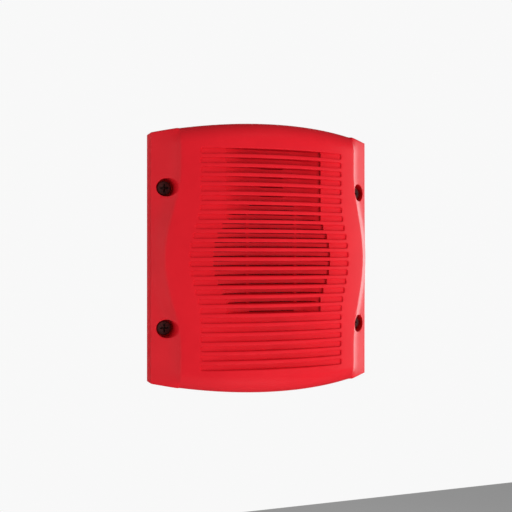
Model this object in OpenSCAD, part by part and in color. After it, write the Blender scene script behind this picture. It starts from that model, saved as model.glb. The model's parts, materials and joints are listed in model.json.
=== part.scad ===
// Wall-mount louvred fire alarm sounder with its mounting plate.
// X points right, Z points up, and the front faces -Y. Y = 0 is the wall.

/* [Front cover] */
// Width of the cover over its two side rims
cover_w = 129.5; // [124:0.5:136]
// Height of the cover at its middle
cover_h = 146.6; // [145:0.2:152]
// Depth of the cover from the wall to the crown of its front
cover_d = 33; // [32.5:0.5:36]
// Radius of the curved front, about a vertical axis
front_r = 126; // [120:1:150]
// Radius of the arched top and bottom edges, seen from the front
arch_r = 410; // [340:10:900]
// Half width of the raised front
bulge_w2 = 51.3; // [50.5:0.1:52]
// Extra half width of the raised front where its sides swell at mid height
swell = 7.8; // [5:0.2:8]
// Width of the steep facet between the raised front and each flange
facet_w = 2.8; // [2:0.2:3.6]
// Slope of that facet
facet_slope = 1.5; // [1.2:0.05:1.6]
// Height of the side rims above the wall
rim_h = 9.6; // [9:0.2:11]
// Thickness of the cover's wall
wall = 2.2; // [1.8:0.1:2.4]

/* [Louvres] */
// Number of louvre grooves
groove_count = 24; // [20:2:24]
// Distance from one groove to the next
groove_pitch = 5.04; // [4.6:0.02:5.08]
// Height of one groove
groove_gap = 3; // [2.4:0.1:3.2]
// Depth that a groove runs out to at its ends
end_depth = 0.8; // [0.4:0.1:1.2]
// Depth of a groove just outside the deep well
ramp_depth = 2.2; // [1.8:0.1:3]
// Depth of the lowest grooves at their middle
low_depth = 3.4; // [2.4:0.1:4]
// Distance that the louvres sit below the cover's middle
grille_drop = 0.6; // [0:0.1:1]
// Radius of the area where the grooves are open
open_r = 34.5; // [30:0.5:36]
// Height of one through slit at a groove's edge
slit = 0.4; // [0.3:0.1:1]

/* [Cover screws] */
// Distance between the left and right cover screws
screw_dx = 114.3; // [113:0.1:114.6]
// Distance between the upper and lower cover screws
screw_dz = 76.2; // [70:0.1:80]
// Radius of the counterbore around a screw's head
pocket_r = 5; // [4.6:0.1:5.1]

/* [Mounting plate] */
// Thickness of the mounting plate
plate_t = 1.5; // [1.2:0.1:1.6]
// Radius of the mounting plate's centre opening
plate_open_r = 41; // [40.5:0.1:42]
// Distance between the left and right wall box screws
box_dx = 46.04; // [44:0.02:48]
// Distance between the upper and lower wall box screws
box_dz = 83.34; // [83:0.02:90]
// Radius of a wall box screw's hole
box_hole_r = 2.2; // [2:0.1:2.4]

/* [Speaker] */
// Outer radius of the speaker frame's rim
frame_r = 46; // [45.5:0.1:46.5]
// Radius of the cone's outer edge
cone_r = 34; // [33:0.1:34.5]
// Radius of the ring magnet
magnet_r = 22.5; // [20.5:0.1:23]
// Thickness of the ring magnet
magnet_t = 8; // [6:0.5:12]

/* [Hidden] */
$fn = 96;

// Every depth below is a height above the wall, and becomes -Y in front().
half_w = cover_w / 2;
half_h = cover_h / 2;
crease_h = front_h(bulge_w2);
arch_z = half_h - arch_r;

// Grille
grille_z2 = (groove_count / 2) * groove_pitch + 1;
grille_w2 = 41.4;
grille_swell = 5.6;
well_w2 = 27.8;
well_flat_w2 = 18;
well_step = 2;
well_floor_h = 23.5;
floor_t = 2;
screen_t = 0.5;
open_z2 = 29;
side_z2 = 25;
rib_x = 14.1;
rib_w = 1.6;
window_w2 = 6.8;
window_top = 50;

// Cover screw stack, from the pocket's floor down to the mounting plate
pocket_h = 7.2;
pocket_floor_t = 1.8;
pocket_wall = 1.3;
nut_h = 4.4;
nut_r = 3.4;
washer_r = 3.2;
thread_r = 1.75;
thread_gap = 0.25;
run_gap = 0.05;
head_r = 4;
head_t = 2;
head_chamfer = 0.6;
drive_l = 4.4;
drive_w = 0.9;
drive_floor_t = 0.6;

// Mounting plate
plate_w2 = 61.5;
plate_z2 = 60;
plate_corner_r = 6;

// Speaker levels
frame_h = 17;
frame_t = 1.2;
gasket_t = 1;
ring_h = frame_h + frame_t + gasket_t;
ring_in_r = 40;
ledge_r = 29;
ledge_h = 5.5;
pot_r = 20;
basket_t = 1;
plate_front = -0.8;
top_plate_t = 3;
coil_r = 8.5;
ear_at = 35.4;

// Bosses that the cover's inside has for the speaker and the chassis
boss_r = 4;
boss_depth = 9;

// Chassis and circuit board
chassis_h = 3.6;
chassis_t = 1.8;
chassis_open_r = 29.5;
chassis_w2 = 46;
chassis_z2 = 63;
post_at = [40, 58];
board_y = 2;
board_t = 1.6;
board_r = 39;
board_in_r = 24;
board_back = board_y + board_t;
board_screw_at = 25.5;
pilot_r = 1.25;
pilot_gap = 0.35;

// Height of the curved front above the wall at x
function front_h(x) = cover_d - front_r + sqrt(front_r * front_r - x * x);

// Turns a solid extruded along +Z, from height above the wall, to face -Y
module front() { rotate([90, 0, 0]) children(); }

// Turns a solid extruded along +Z, from depth behind the wall, to face +Y
module rear() { mirror([0, 1, 0]) rotate([90, 0, 0]) children(); }

// One copy in each corner of a rectangle, dx by dz apart, seen from the front
module corners(dx, dz) {
    for (sx = [-1, 1], sz = [-1, 1]) translate([sx * dx / 2, sz * dz / 2]) children();
}

// Ring extruded from z0 to z1
module ring(r_out, r_in, z0, z1) {
    translate([0, 0, z0]) difference() {
        cylinder(r = r_out, h = z1 - z0);
        translate([0, 0, -1]) cylinder(r = r_in, h = z1 - z0 + 2);
    }
}

// Extrudes a height profile, drawn as x against height above the wall, along the full height
module profile_solid(z2) {
    rotate([0, 0, 180]) translate([0, 0, -z2]) linear_extrude(2 * z2) children();
}

// Front outline with arched top and bottom edges, inset all round
module arched_outline(w2, inset) {
    intersection() {
        square([2 * (w2 - inset), 4 * half_h], center = true);
        translate([0, arch_z]) circle(r = arch_r - inset, $fn = 720);
        translate([0, -arch_z]) circle(r = arch_r - inset, $fn = 720);
    }
}

// Outline of the raised front: straight sides that swell outwards at mid height
module bulge_outline(inset) {
    intersection() {
        union() {
            square([2 * (bulge_w2 - inset), 4 * half_h], center = true);
            polygon(swell_points(bulge_w2 - inset, swell, 50));
        }
        arched_outline(half_w, inset);
    }
}

// Closed outline whose sides swell by a cosine bump over the height 2 * z2
function swell_points(w2, bump, z2) = concat(
    [for (i = [0:16]) let (t = -1 + i / 8) [w2 + bump * (1 + cos(180 * t)) / 2, t * z2]],
    [for (i = [0:16]) let (t = 1 - i / 8) [-w2 - bump * (1 + cos(180 * t)) / 2, t * z2]]
);

// Space under the curved front, lowered by drop
module front_profile(drop) {
    profile_solid(half_h + 1) intersection() {
        translate([-half_w - 1, -1]) square([2 * half_w + 2, cover_d + 1]);
        translate([0, cover_d - front_r]) circle(r = front_r - drop, $fn = 720);
    }
}

// Space under the side flanges, each a steep facet and then a flatter one, lowered by drop
module flange_profile(drop) {
    facet_h = crease_h - facet_slope * facet_w;
    side = [
        [0, crease_h], [bulge_w2, crease_h], [bulge_w2 + facet_w, facet_h],
        [half_w, rim_h], [half_w + 1, rim_h], [half_w + 1, 0], [0, 0]
    ];
    profile_solid(half_h + 1) for (s = [0, 1]) mirror([s, 0]) translate([0, -drop]) polygon(side);
}

module cover_body(drop) {
    intersection() {
        union() {
            intersection() {
                front_profile(drop);
                front() linear_extrude(cover_d + 1) bulge_outline(drop);
            }
            flange_profile(drop);
        }
        front() translate([0, 0, -drop]) linear_extrude(cover_d + 1) arched_outline(half_w, drop);
    }
}

// Hollow behind the cover's skin, flat behind the grille to leave a floor under its grooves
module cover_hollow() {
    difference() {
        cover_body(wall);
        front() {
            translate([-half_w, -grille_z2, well_floor_h - floor_t]) cube([cover_w, 2 * grille_z2, cover_d]);
            ring(frame_r, ring_in_r, ring_h, cover_d);
            corners(2 * ear_at, 2 * ear_at) translate([0, 0, frame_h + frame_t])
                cylinder(r = boss_r, h = cover_d);
            corners(2 * post_at[0], 2 * post_at[1]) translate([0, 0, chassis_h + chassis_t])
                cylinder(r = boss_r, h = cover_d);
            corners(screw_dx, screw_dz) translate([0, 0, pocket_h - pocket_floor_t])
                cylinder(r = pocket_r + pocket_wall, h = cover_d);
        }
    }
}

function groove_z(i) = (i - (groove_count - 1) / 2) * groove_pitch;
function grille_half(z) = grille_w2
    + (abs(z) < 33 ? grille_swell * (1 + cos(180 * z / 33)) / 2 : 0);

// Half width of the deep well in the groove at z, which is wider beside the round open area
function well_half(z) = max(well_w2, abs(z) < side_z2 ? sqrt(open_r * open_r - z * z) : 0);

// One louvre groove: a deep well with a step at each side, or a shallow bowed floor in the lowest grooves,
// with ramps that run out to its ends
module groove(z) {
    half = grille_half(z);
    well = well_half(z);
    end_h = front_h(half) - end_depth;
    ramp_h = front_h(well) - ramp_depth;
    step_h = ramp_h - well_step;
    middle = z < -open_z2 ? [[0, cover_d - low_depth]] : [
        [-well, step_h], [-well_flat_w2, well_floor_h], [well_flat_w2, well_floor_h], [well, step_h]
    ];
    translate([0, 0, z]) profile_solid(groove_gap / 2) polygon(concat(middle, [
        [well, ramp_h], [half, end_h], [half, cover_d + 1],
        [-half, cover_d + 1], [-half, end_h], [-well, ramp_h]
    ]));
}

// Pair of through slits along the top and bottom of one groove, between x0 and x1
module slits(z, x0, x1) {
    for (s = [-1, 1]) translate([x0, -cover_d - 1, z + s * (groove_gap - slit) / 2 - slit / 2])
        cube([x1 - x0, cover_d, slit]);
}

// Through slits: a round area broken by two ribs, and a narrow window above it
module open_slits() {
    reach = rib_x - rib_w / 2;
    for (i = [0:groove_count - 1]) let (z = groove_z(i)) {
        if (abs(z) < open_z2) slits(z, -reach, reach);
        if (abs(z) < side_z2) for (s = [0, 1]) mirror([s, 0, 0])
            slits(z, rib_x + rib_w / 2, sqrt(open_r * open_r - z * z));
        if (z > open_z2 && z < window_top) slits(z, -window_w2, window_w2);
    }
}

module front_cover() color([0.80, 0.11, 0.13]) {
    difference() {
        cover_body(0);
        cover_hollow();
        translate([0, 0, -grille_drop]) {
            for (i = [0:groove_count - 1]) groove(groove_z(i));
            open_slits();
        }
        front() corners(screw_dx, screw_dz) {
            translate([0, 0, pocket_h]) cylinder(r = pocket_r, h = cover_d);
            cylinder(r = thread_r + thread_gap, h = cover_d);
        }
        front() corners(2 * ear_at, 2 * ear_at) translate([0, 0, frame_h]) cylinder(r = pilot_r, h = 5.4);
        front() corners(2 * post_at[0], 2 * post_at[1])
            cylinder(r = pilot_r, h = chassis_h + chassis_t + boss_depth);
    }
}

module mounting_plate() color([0.70, 0.71, 0.72]) {
    flat_w = 2 * (plate_w2 - plate_corner_r);
    flat_z = 2 * (plate_z2 - plate_corner_r);
    front() linear_extrude(plate_t) difference() {
        union() {
            square([flat_w, 2 * plate_z2], center = true);
            square([2 * plate_w2, flat_z], center = true);
            corners(flat_w, flat_z) circle(r = plate_corner_r);
        }
        circle(r = plate_open_r);
        corners(box_dx, box_dz) circle(r = box_hole_r);
        corners(screw_dx, screw_dz) circle(r = thread_r + thread_gap + pilot_gap);
    }
}

module plate_nuts() color([0.62, 0.63, 0.66]) {
    front() corners(screw_dx, screw_dz) ring(nut_r, thread_r + run_gap, plate_t, nut_h);
}

module screw_retainers() color([0.9, 0.9, 0.87]) {
    front() corners(screw_dx, screw_dz)
        ring(washer_r, thread_r + run_gap, nut_h + 0.3, pocket_h - pocket_floor_t - 0.1);
}

// Cross-head captive screw, with its head's rim rounded by a short cone
module cover_screw(sx, sz) color([0.07, 0.07, 0.075]) {
    front() translate([sx * screw_dx / 2, sz * screw_dz / 2]) {
        difference() {
            translate([0, 0, pocket_h]) union() {
                cylinder(r = head_r, h = head_t - head_chamfer);
                translate([0, 0, head_t - head_chamfer])
                    cylinder(r1 = head_r, r2 = head_r - head_chamfer, h = head_chamfer);
            }
            for (a = [0, 90]) rotate(a) translate([-drive_l / 2, -drive_w / 2, pocket_h + drive_floor_t])
                cube([drive_l, drive_w, head_t]);
        }
        translate([0, 0, 0.4]) cylinder(r = thread_r, h = pocket_h - 0.4);
    }
}

module cover_screw_1() { cover_screw(-1, 1); }
module cover_screw_2() { cover_screw(1, 1); }
module cover_screw_3() { cover_screw(-1, -1); }
module cover_screw_4() { cover_screw(1, -1); }

module acoustic_screen() color([0.12, 0.12, 0.12]) {
    front() translate([0, 0, well_floor_h - floor_t - screen_t]) cylinder(r = ring_in_r - 0.3, h = screen_t);
}

module speaker_gasket() color([0.16, 0.16, 0.17]) {
    front() ring(frame_r, ring_in_r, frame_h + frame_t, ring_h);
}

// Pressed basket: rim with four ears, cone, spider ledge and pot
module speaker_frame() color([0.22, 0.22, 0.24]) {
    cone_in = ring_in_r - 1.5;
    front() {
        difference() {
            union() {
                translate([0, 0, frame_h]) cylinder(r = frame_r, h = frame_t);
                for (a = [45:90:315]) rotate(a) translate([0, -5, frame_h])
                    cube([norm([ear_at, ear_at]), 10, frame_t]);
                corners(2 * ear_at, 2 * ear_at) translate([0, 0, frame_h]) cylinder(r = 5, h = frame_t);
            }
            translate([0, 0, frame_h - 1]) cylinder(r = cone_in, h = 4);
            corners(2 * ear_at, 2 * ear_at) translate([0, 0, frame_h - 1])
                cylinder(r = pilot_r + pilot_gap, h = 4);
        }
        rotate_extrude() polygon([
            [cone_in, frame_h], [cone_in + basket_t, frame_h], [ledge_r + basket_t, ledge_h],
            [pot_r + basket_t, ledge_h], [pot_r + basket_t, -plate_front],
            [coil_r + 2.5, -plate_front], [coil_r + 2.5, -plate_front + basket_t],
            [pot_r, -plate_front + basket_t], [pot_r, ledge_h + basket_t],
            [ledge_r, ledge_h + basket_t]
        ]);
    }
}

// Half-roll surround between the cone's edge and the frame's rim
module speaker_surround() color([0.10, 0.10, 0.11]) {
    base_h = frame_h + frame_t;
    roll_mid = (cone_r + ring_in_r - 1.5) / 2;
    roll_r = (ring_in_r - 1.5 - cone_r) / 2;
    roll_t = 0.4;
    front() rotate_extrude() {
        translate([roll_mid, base_h]) intersection() {
            difference() {
                circle(r = roll_r, $fn = 48);
                circle(r = roll_r - roll_t, $fn = 48);
            }
            translate([-roll_r, 0]) square([2 * roll_r, roll_r]);
        }
        translate([roll_mid + roll_r - roll_t, base_h]) square([1.4 + roll_t, roll_t]);
    }
}

module speaker_cone() color([0.14, 0.14, 0.14]) {
    top_h = frame_h + frame_t;
    front() rotate_extrude() polygon([
        [coil_r, 8.2], [coil_r + 0.6, 8.2], [18, 11], [27, 14.6], [cone_r - 1.4, top_h - 0.5],
        [cone_r, top_h - 0.5], [cone_r, top_h], [cone_r - 1.8, top_h], [26.6, 15.1],
        [17.7, 11.5], [coil_r, 8.8]
    ]);
}

module dust_cap() color([0.08, 0.08, 0.08]) {
    cap_r = 13;
    rim = 10.2;
    base_h = 9.4;
    centre_h = base_h - sqrt(cap_r * cap_r - rim * rim);
    front() rotate_extrude() intersection() {
        translate([0, centre_h]) difference() {
            circle(r = cap_r);
            circle(r = cap_r - 0.4);
        }
        translate([0, base_h]) square([rim + 1, cap_r]);
    }
}

module coil_former() color([0.72, 0.55, 0.32]) {
    front() ring(coil_r, coil_r - 0.2, -1.6, 8.8);
}

module coil_winding() color([0.72, 0.38, 0.18]) {
    front() ring(coil_r + 0.3, coil_r, -2.7, 1.2);
}

// Corrugated spider between the coil former and the basket's ledge
module speaker_spider() color([0.62, 0.45, 0.22]) {
    base_h = ledge_h + basket_t;
    waves = 4;
    in_r = coil_r + 0.05;
    out_r = pot_r + 2;
    steps = waves * 2;
    top = [for (i = [0:steps]) [in_r + (out_r - 2 - in_r) * i / steps, base_h + (i % 2 == 0 ? 0 : 0.9)]];
    front() rotate_extrude() polygon(concat(
        top, [[out_r, base_h], [out_r, base_h + 0.4]],
        [for (i = [steps:-1:0]) [top[i][0], top[i][1] + 0.4]]
    ));
}

module top_plate() color([0.75, 0.75, 0.72]) {
    rear() ring(pot_r, coil_r + 0.65, plate_front, plate_front + top_plate_t);
}

module ring_magnet() color([0.2, 0.2, 0.21]) {
    front_y = plate_front + top_plate_t;
    rear() ring(magnet_r, coil_r + 2, front_y, front_y + magnet_t);
}

module pole_plate() color([0.75, 0.75, 0.72]) {
    back_y = plate_front + top_plate_t + magnet_t;
    rear() {
        translate([0, 0, back_y]) cylinder(r = pot_r + 1, h = top_plate_t);
        translate([0, 0, plate_front]) cylinder(r = coil_r - 0.6, h = back_y - plate_front + 0.5);
    }
}

// Pan-head screw that points towards the front, its head's underside at height h
module rear_screw(h, shank_l, shank_r, pan_r, pan_t) {
    translate([0, 0, h]) cylinder(r = shank_r, h = shank_l);
    difference() {
        translate([0, 0, h - pan_t]) cylinder(r1 = pan_r - 0.5, r2 = pan_r, h = pan_t);
        for (a = [0, 90]) rotate(a) translate([-pan_r * 0.6, -0.3, h - pan_t - 1])
            cube([pan_r * 1.2, 0.6, 1.8]);
    }
}

module speaker_screws() color([0.75, 0.75, 0.72]) {
    front() corners(2 * ear_at, 2 * ear_at) rear_screw(frame_h, 5.2, pilot_r, 2.8, 1.8);
}

// Moulded plate that closes the cover's back around the speaker and carries the board on posts
module rear_chassis() color([0.15, 0.15, 0.16]) {
    post_r = 3;
    front() difference() {
        union() {
            translate([0, 0, chassis_h]) linear_extrude(chassis_t) difference() {
                square([2 * chassis_w2, 2 * chassis_z2], center = true);
                circle(r = chassis_open_r);
            }
            corners(2 * board_screw_at, 2 * board_screw_at) translate([0, 0, -board_y])
                cylinder(r = post_r, h = board_y + chassis_h);
        }
        corners(2 * board_screw_at, 2 * board_screw_at) translate([0, 0, -board_y - 1])
            cylinder(r = pilot_r, h = 6);
        corners(2 * post_at[0], 2 * post_at[1]) cylinder(r = pilot_r + pilot_gap, h = cover_d);
    }
}

module chassis_screws() color([0.75, 0.75, 0.72]) {
    front() corners(2 * post_at[0], 2 * post_at[1]) rear_screw(chassis_h, 9, pilot_r, 3, 1.6);
}

// Ring-shaped board, drilled for its four screws and the two leads
module circuit_board() color([0.10, 0.36, 0.18]) {
    rear() translate([0, 0, board_y]) linear_extrude(board_t) difference() {
        circle(r = board_r);
        circle(r = board_in_r);
        corners(2 * board_screw_at, 2 * board_screw_at) circle(r = pilot_r + pilot_gap);
        for (a = lead_angles) rotate(a) translate([lead_at, 0]) circle(r = lead_r + 0.1);
    }
}

module board_screws() color([0.75, 0.75, 0.72]) {
    front() corners(2 * board_screw_at, 2 * board_screw_at)
        rear_screw(-board_back, 6, pilot_r, 2.6, 1.6);
}

// Line transformer, standing on the board below the magnet
core_w = 20;
core_l = 16;
core_stack = 7;
leg_w = 5;
yoke_w = 3;
core_z = -31.5;
core_y = board_back;
bracket_t = 0.5;
tube_t = 0.6;

module transformer_core() color([0.33, 0.33, 0.36]) {
    window_w = (core_w - leg_w) / 2 - leg_w / 2;
    translate([0, core_y, core_z]) difference() {
        translate([-core_w / 2, 0, -core_stack / 2]) cube([core_w, core_l, core_stack]);
        for (s = [0, 1]) mirror([s, 0, 0]) translate([leg_w / 2, yoke_w, -core_stack])
            cube([window_w, core_l - 2 * yoke_w, 2 * core_stack]);
    }
}

// Box tube around the core's centre leg, grown by g on every side
module leg_box(g, y0, y1) {
    translate([-leg_w / 2 - g, y0, -core_stack / 2 - g]) cube([leg_w + 2 * g, y1 - y0, core_stack + 2 * g]);
}

module transformer_bobbin() color([0.86, 0.84, 0.76]) {
    y0 = yoke_w + 0.1;
    y1 = core_l - yoke_w - 0.1;
    flange_g = 3.3;
    translate([0, core_y, core_z]) difference() {
        union() {
            leg_box(tube_t, y0, y1);
            for (y = [y0, y1 - 1]) leg_box(flange_g, y, y + 1);
        }
        leg_box(0, y0 - 1, y1 + 1);
    }
}

// Channel that holds the core down, with a foot on each side
module transformer_bracket() color([0.72, 0.73, 0.74]) {
    out_w = core_w + 2 * bracket_t;
    foot_l = 2.5;
    translate([0, core_y, core_z - core_stack / 2]) difference() {
        union() {
            translate([-out_w / 2, 0, 0]) cube([out_w, core_l + bracket_t, core_stack]);
            translate([-out_w / 2 - foot_l, 0, 0]) cube([out_w + 2 * foot_l, bracket_t, core_stack]);
        }
        translate([-core_w / 2, -1, -1]) cube([core_w, core_l + 1, core_stack + 2]);
    }
}

module transformer_winding() color([0.80, 0.60, 0.20]) {
    y0 = yoke_w + 1.1;
    y1 = core_l - yoke_w - 1.1;
    translate([0, core_y, core_z]) difference() {
        leg_box(2.9, y0, y1);
        leg_box(tube_t, y0 - 1, y1 + 1);
    }
}

module capacitors() color([0.16, 0.22, 0.42]) {
    for (a = [22, -22]) rear() rotate(a) translate([31, 0, board_back]) {
        cylinder(r = 3.8, h = 10.6);
        translate([0, 0, 10.6]) cylinder(r1 = 3.8, r2 = 3.3, h = 0.6);
    }
}

// Line terminals along the top of the board
pole_count = 4;
pole_pitch = 7;
block_z = 31;
block_d = 11;
block_h = 11.4;
entry_y = 4;

module at_poles() {
    for (i = [0:pole_count - 1]) translate([(i - (pole_count - 1) / 2) * pole_pitch, board_back, block_z])
        children();
}

module terminal_block() color([0.10, 0.28, 0.14]) {
    block_w = pole_count * pole_pitch + 2;
    difference() {
        translate([-block_w / 2, board_back, block_z - block_d / 2]) cube([block_w, block_h, block_d]);
        at_poles() {
            translate([0, entry_y, 0]) cylinder(r = 2.1, h = block_d);
            translate([-2.4, 1.4, -3]) cube([4.8, 5.6, 6.2]);
            rotate([-90, 0, 0]) translate([0, 0, 5]) cylinder(r = 2.6, h = block_h);
        }
    }
}

module terminal_clamps() color([0.78, 0.66, 0.30]) {
    at_poles() translate([-2.3, 1.4, -2.9]) difference() {
        cube([4.6, 5.4, 5.8]);
        translate([0.8, 0.8, -1]) cube([3, 3.6, 8]);
        translate([2.3, 0, 2.9]) rotate([-90, 0, 0]) translate([0, 0, 4]) cylinder(r = 1.3, h = 3);
    }
}

module terminal_screws() color([0.75, 0.75, 0.72]) {
    at_poles() rotate([-90, 0, 0]) difference() {
        union() {
            translate([0, 0, 2.8]) cylinder(r = 1.3, h = 5);
            translate([0, 0, 7.4]) cylinder(r = 2.3, h = 1.8);
        }
        translate([-3, -0.35, 8.4]) cube([6, 0.7, 2]);
    }
}

// Rotary power selector on the right of the board, turned with a screwdriver
selector_x = 31.2;
selector_w = 10;
selector_h = 7;
rotor_r = 3;

module power_selector() color([0.18, 0.30, 0.62]) {
    translate([selector_x, board_back, 0]) difference() {
        translate([-selector_w / 2, 0, -selector_w / 2]) cube([selector_w, selector_h, selector_w]);
        rotate([-90, 0, 0]) translate([0, 0, 2]) cylinder(r = rotor_r + run_gap, h = selector_h);
    }
}

module power_rotor() color([0.92, 0.92, 0.90]) {
    translate([selector_x, board_back, 0]) rotate([-90, 0, 0]) difference() {
        translate([0, 0, 2.05]) cylinder(r = rotor_r, h = selector_h - 1.55);
        translate([-2.4, -0.45, selector_h - 0.6]) cube([4.8, 0.9, 2]);
        translate([1.2, -1.1, selector_h - 0.6]) cube([1.2, 2.2, 2]);
    }
}

// Voltage slide switch on the left of the board
switch_x = -31.2;
switch_l = 13;
switch_w = 7;
switch_h = 5.5;
slider_l = 4;
slider_travel = 2;

module voltage_switch() color([0.10, 0.10, 0.11]) {
    slot_l = slider_l + slider_travel;
    translate([switch_x, board_back, 0]) difference() {
        translate([-switch_w / 2, 0, -switch_l / 2]) cube([switch_w, switch_h, switch_l]);
        translate([-1.5, 1.5, -slot_l / 2 - 0.3]) cube([3, switch_h, slot_l + 0.6]);
    }
}

module voltage_slider() color([0.93, 0.93, 0.92]) {
    translate([switch_x - 1.2, board_back + 1.8, -(slider_l + slider_travel) / 2])
        cube([2.4, switch_h + 0.7, slider_l]);
}

// Solder tags under the basket's ledge and the two leads that run back to the board
lead_at = 26.2;
lead_r = 0.6;
lead_angles = [128, 142];
tag_t = 0.8;

module lead_tags() color([0.82, 0.80, 0.70]) {
    front() for (a = lead_angles) rotate(a) translate([lead_at - 2, -1.5, ledge_h - tag_t])
        cube([4, 3, tag_t]);
}

module speaker_leads() color([0.62, 0.10, 0.10]) {
    rear() for (a = lead_angles) rotate(a) translate([lead_at, 0, tag_t - ledge_h])
        cylinder(r = lead_r, h = ledge_h - tag_t + board_back + 0.6);
}

mounting_plate();
plate_nuts();
front_cover();
screw_retainers();
acoustic_screen();
speaker_gasket();
speaker_frame();
speaker_surround();
speaker_cone();
dust_cap();
coil_former();
coil_winding();
speaker_spider();
top_plate();
ring_magnet();
pole_plate();
speaker_screws();
rear_chassis();
chassis_screws();
circuit_board();
board_screws();
transformer_core();
transformer_bobbin();
transformer_winding();
transformer_bracket();
capacitors();
terminal_block();
terminal_screws();
terminal_clamps();
power_selector();
power_rotor();
voltage_switch();
voltage_slider();
lead_tags();
speaker_leads();
cover_screw_1();
cover_screw_2();
cover_screw_3();
cover_screw_4();
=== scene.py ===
"""Looks of a wall-mount louvred fire alarm sounder: its cover, inner parts, materials, lights and camera."""

import json
import math

import bmesh
import bpy
import numpy as np
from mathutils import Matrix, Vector


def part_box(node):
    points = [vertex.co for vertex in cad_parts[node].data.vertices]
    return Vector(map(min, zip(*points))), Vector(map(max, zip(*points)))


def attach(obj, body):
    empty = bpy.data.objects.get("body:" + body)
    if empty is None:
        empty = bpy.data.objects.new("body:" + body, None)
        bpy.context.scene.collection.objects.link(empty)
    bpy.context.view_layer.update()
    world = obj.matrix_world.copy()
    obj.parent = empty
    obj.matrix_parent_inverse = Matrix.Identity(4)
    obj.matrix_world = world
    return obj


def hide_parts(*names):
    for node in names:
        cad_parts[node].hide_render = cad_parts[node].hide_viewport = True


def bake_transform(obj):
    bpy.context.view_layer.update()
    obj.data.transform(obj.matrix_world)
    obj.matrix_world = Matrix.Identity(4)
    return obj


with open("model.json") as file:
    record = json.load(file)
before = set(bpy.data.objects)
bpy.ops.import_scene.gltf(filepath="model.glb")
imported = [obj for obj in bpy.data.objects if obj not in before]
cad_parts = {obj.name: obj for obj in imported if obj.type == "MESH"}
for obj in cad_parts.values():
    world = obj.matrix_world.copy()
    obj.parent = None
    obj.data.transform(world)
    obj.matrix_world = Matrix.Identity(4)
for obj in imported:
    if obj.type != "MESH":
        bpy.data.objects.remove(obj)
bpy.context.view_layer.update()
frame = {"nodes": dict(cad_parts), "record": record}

MM = 0.001

# Cover, in millimetres: x to the right, z up, and h the height above the wall, towards the viewer
cover_low, cover_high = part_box("front_cover")
HALF_W = (cover_high[0] - cover_low[0]) / 2 / MM
HALF_H = (cover_high[2] - cover_low[2]) / 2 / MM
DEPTH = -cover_low[1] / MM
FRONT_R = 126.0
ARCH_R = 410.0
BULGE_W2 = 51.3
SWELL = 7.8
SWELL_Z2 = 50.0
RIM_H = 9.6
WALL = 2.2
FACET_W = 2.8
FACET_SLOPE = 1.5
FACET_BLEND = 1.6
ROLL_W = 9.0
ROLL_R = 9.7
FLANGE_ROLL = 0.15
CREASE_R = 0.9
CREASE_SPAN = 0.8
EDGE_R = 0.6
CORNER_R = 0.5

# Louvres
GROOVES = 24
PITCH = 5.04
GROOVE_W2 = 1.5
GRILLE_W2 = 41.4
GRILLE_SWELL = 5.6
GRILLE_SWELL_Z2 = 33.0
WELL_W2 = 27.8
WELL_FLAT_W2 = 18.0
WELL_STEP = 1.3
WELL_H = 23.5
FLOOR_T = 2.0
END_DEPTH = 0.8
RAMP_DEPTH = 2.2
LOW_DEPTH = 3.4
GRILLE_DROP = 0.6
END_R = 1.2
LIP_R = 0.4
WALL_RUN = 0.08
GRILLE_Z2 = GROOVES / 2 * PITCH
GRILLE_FADE = 2.0
DROP_FADE = 4.0
SLIT_HEIGHT = 0.4
SLIT_IN = GROOVE_W2 - SLIT_HEIGHT
LIP_STEPS = (0.06, 0.2, LIP_R)
OPEN_R = 34.5
OPEN_Z2 = 29.0
SIDE_Z2 = 25.0
RIB_X = (13.3, 14.9)
WINDOW_W2 = 6.8
WINDOW_TOP = 50.0
GROOVE_SLANT = 0.045

# Screw pockets
POCKET_X = 57.15
POCKET_Z = 38.1
POCKET_R = 5.0
POCKET_ROW = 7.5 * PITCH
POCKET_H = 7.2
POCKET_FLOOR = 1.8
POCKET_BLEND = 0.17
POCKET_LIP = 0.22
POCKET_FILLET = 0.25
POCKET_SKIRT = 0.3
HOLE_R = 2.0

# Rows of the mesh above the grille, and the foot of the rim
ARCH_ROWS = 14
FOOT_BEVEL = 0.25
FOOT_SHARE = 0.12

# Cover screws: the recess is a list of (height above the seat, half length, half width)
HEAD_R = 4.0
HEAD_T = 2.0
HEAD_DOME = 0.9
SHANK_R = 1.75
SHANK_TIP = 0.4
SHANK_CHAMFER = 0.3
RECESS = ((0.4, 1.9, 0.36), (2.1, 2.35, 0.52))

# Bosses and the gasket's seat inside the cover
SKIN_H = WELL_H - FLOOR_T
BOSS_R = 4.0
BOSS_CHAMFER = 0.4
PILOT_R = 1.25
EAR_AT = (35.4, 35.4)
EAR_BOSS_H = 18.2
POST_AT = (40, 58)
POST_BOSS_H = 5.4
GASKET_R = (40, 46)
GASKET_H = (18.2, 19.2)
SOFT_EDGE = 0.3

# Speaker
SCREEN_R = 39.7
SCREEN_H = (21.05, 21.48)
NECK_R = 8.5
NECK_H = 8.8
FLARE_R = 32.2
CONE_R = 34.0
CONE_H = 18.2
CONE_CURVE = 1.3
CONE_T = 0.45
RIBS = (17, 22, 27)
RIB_W2 = 0.7
RIB_H = 0.3
CAP_R = 13.0
CAP_RIM_R = 10.2
CAP_CENTRE_H = 1.34
CAP_T = 0.4
ROLL_MID_R = 36.25
HALF_ROLL_R = 2.25
SURROUND_T = 0.4
SURROUND_H = 18.25
SURROUND_LIP_T = 0.35
SURROUND_REACH = (32.6, 39.9)
SPIDER_R = (8.55, 20.0, 22.0)
SPIDER_H = 6.9
SPIDER_WAVE = 0.45
SPIDER_WAVES = 4
SPIDER_T = 0.4
SECTORS = 16

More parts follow.
